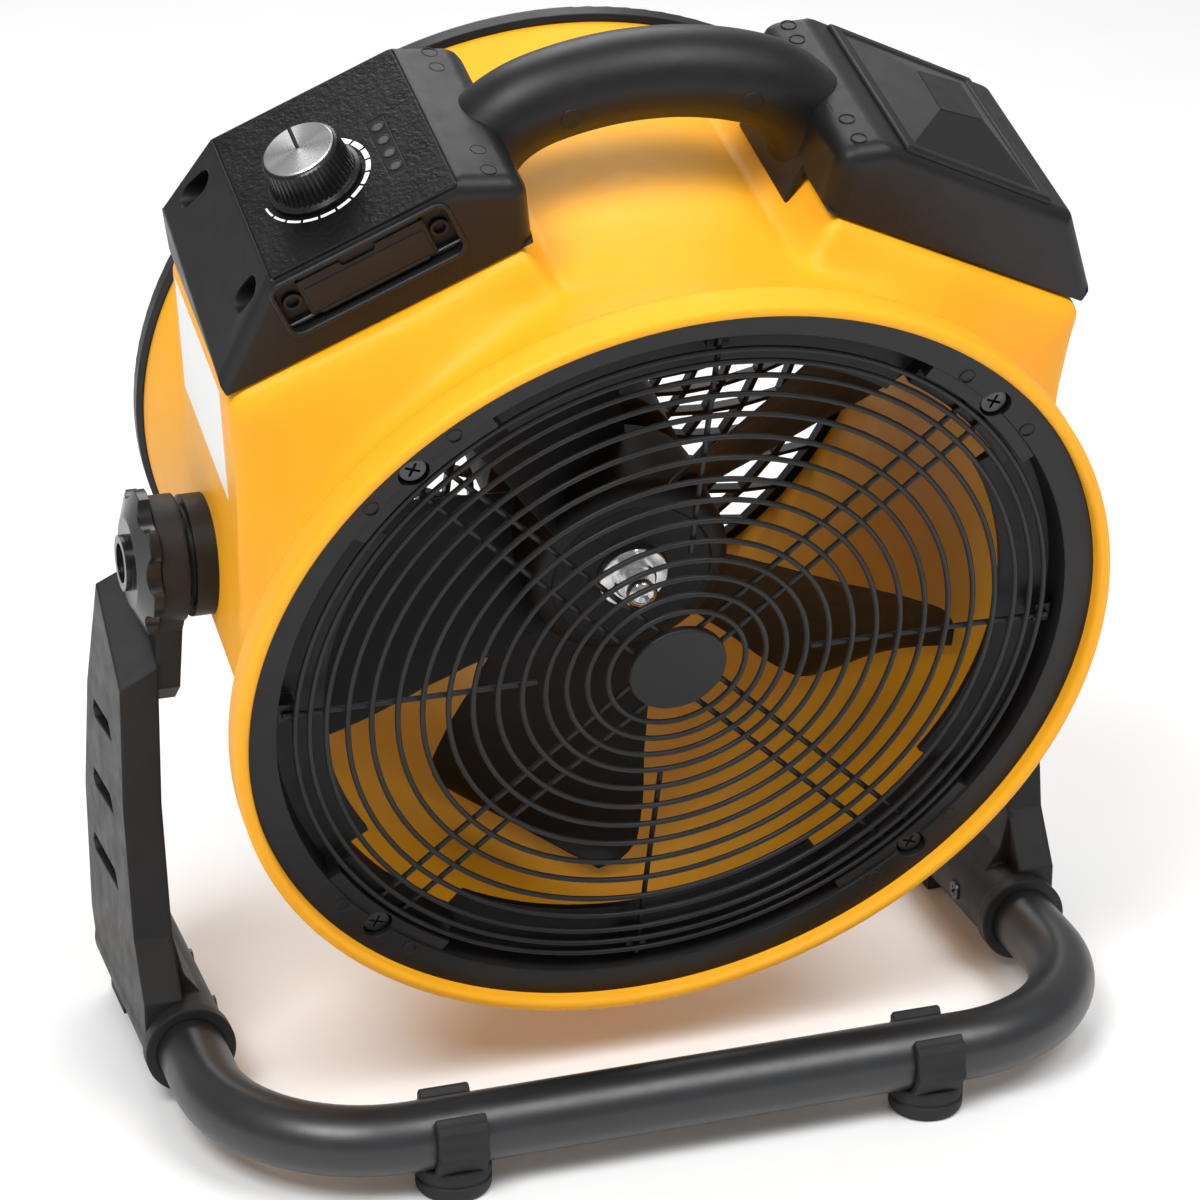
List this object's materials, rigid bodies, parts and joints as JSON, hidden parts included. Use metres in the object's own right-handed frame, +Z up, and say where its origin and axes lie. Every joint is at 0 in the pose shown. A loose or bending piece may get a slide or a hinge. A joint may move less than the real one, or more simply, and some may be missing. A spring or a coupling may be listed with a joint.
{
  "type": "portable axial air mover",
  "caption": "Tilting drum fan on a U-shaped tube stand, with wire front grille, carry handle, speed dial box and battery box.",
  "frame": {"origin": "on the floor under the centre of the whole assembly's bounding box", "axes": "+Z up; air leaves towards -Y; +X is the viewer's right seen from the front, so the control box is on the -X side"},
  "size_m": [0.433, 0.3354, 0.4763],
  "materials": {
    "battery_wrap": "shrink wrap",
    "black_moulding": "matte textured moulded plastic",
    "board_green": "solder mask",
    "brass_nut": "turned",
    "cap_aluminium": "spun finish",
    "collar_chrome": "bright plating",
    "core_iron": "laminated core",
    "fan_black": "satin moulded plastic",
    "foot_rubber": "matte rubber",
    "grille_wire": "satin powder coat on steel wire",
    "handle_black": "satin textured moulded plastic",
    "inlet_metal": "plated",
    "inlet_plastic": "moulded",
    "knob_gloss": "glossy moulded plastic",
    "label_white": "printed paper film",
    "led_lens": "diffuse lens",
    "magnet": "sintered",
    "motor_metal": "black paint",
    "panel_film": "textured film",
    "screw_steel": "blackened steel",
    "shaft_steel": "ground steel",
    "tab_nickel": "nickel strip",
    "tube_coat": "satin powder coat",
    "window_clear": "smoked clear",
    "yellow_shell": "satin moulded plastic, fine grain"
  },
  "bodies": {
    "stand": {"front_tube": "tube_coat", "front_foot_left": "foot_rubber", "front_foot_right": "foot_rubber", "stand_arm_left": "black_moulding", "stand_arm_right": "black_moulding", "arm_screws_left": "screw_steel", "arm_screws_right": "screw_steel", "rear_foot_left": "foot_rubber", "rear_foot_right": "foot_rubber"},
    "head": {"drum_housing": "yellow_shell", "front_ring": "black_moulding", "front_grille": "grille_wire", "grille_badge": "black_moulding", "grille_screws": "screw_steel", "rear_guard": "black_moulding", "motor_screws": "screw_steel", "motor_housing": "motor_metal", "motor_end_cover": "motor_metal", "motor_bearings": "shaft_steel", "motor_stator": "core_iron", "control_box": "black_moulding", "control_panel": "panel_film", "indicator_window": "window_clear", "indicator_leds": "led_lens", "indicator_board": "board_green", "control_board": "board_green", "potentiometer": "inlet_metal", "port_cover_pin": "shaft_steel", "usb_port": "inlet_metal", "dc_jack": "inlet_plastic", "control_box_screws": "screw_steel", "battery_box": "black_moulding", "battery_cover": "black_moulding", "battery_cells": "battery_wrap", "battery_terminals": "tab_nickel", "battery_box_screws": "screw_steel", "rating_label": "label_white", "handle": "handle_black", "handle_plugs": "handle_black", "pivot_bush_left": "black_moulding", "pivot_bush_right": "black_moulding", "pivot_nut_left": "brass_nut", "pivot_nut_right": "brass_nut", "arm_washer_left": "shaft_steel", "arm_washer_right": "shaft_steel"},
    "impeller": {"fan_blade": "fan_black", "motor_shaft": "shaft_steel", "motor_rotor": "magnet", "shaft_collar": "collar_chrome", "hub_nut": "collar_chrome"},
    "speed_dial": {"speed_knob": "knob_gloss", "knob_cap": "cap_aluminium", "knob_shaft": "shaft_steel"},
    "port_door": {"port_cover": "black_moulding"},
    "left_clamp": {"tilt_knob_left": "knob_gloss", "tilt_bolt_left": "screw_steel"},
    "right_clamp": {"tilt_knob_right": "knob_gloss", "tilt_bolt_right": "screw_steel"}
  },
  "joints": [
    {"name": "head_tilt", "type": "hinge", "parent": "stand", "child": "head", "pos_m": [0, 0.0023, 0.246], "axis": [1, 0, 0], "range_deg": [-107, 73]},
    {"name": "fan_spin", "type": "hinge", "parent": "head", "child": "impeller", "pos_m": [0, -0.02158, 0.23861], "axis": [0, 0.9553, 0.2957], "continuous": true},
    {"name": "dial_turn", "type": "hinge", "parent": "head", "child": "speed_dial", "pos_m": [-0.13932, -0.06677, 0.42685], "axis": [-0.4433, -0.2651, 0.8563], "range_deg": [0, 300]},
    {"name": "port_door_swing", "type": "hinge", "parent": "head", "child": "port_door", "pos_m": [-0.12506, -0.0995, 0.39362], "axis": [0.8964, -0.1311, 0.4235], "range_deg": [0, 105]},
    {"name": "left_clamp_turn", "type": "hinge", "parent": "stand", "child": "left_clamp", "pos_m": [-0.2, 0.0023, 0.246], "axis": [-1, 0, 0], "range_deg": [0, 360]},
    {"name": "right_clamp_turn", "type": "hinge", "parent": "stand", "child": "right_clamp", "pos_m": [0.2, 0.0023, 0.246], "axis": [1, 0, 0], "range_deg": [0, 360]}
  ]
}
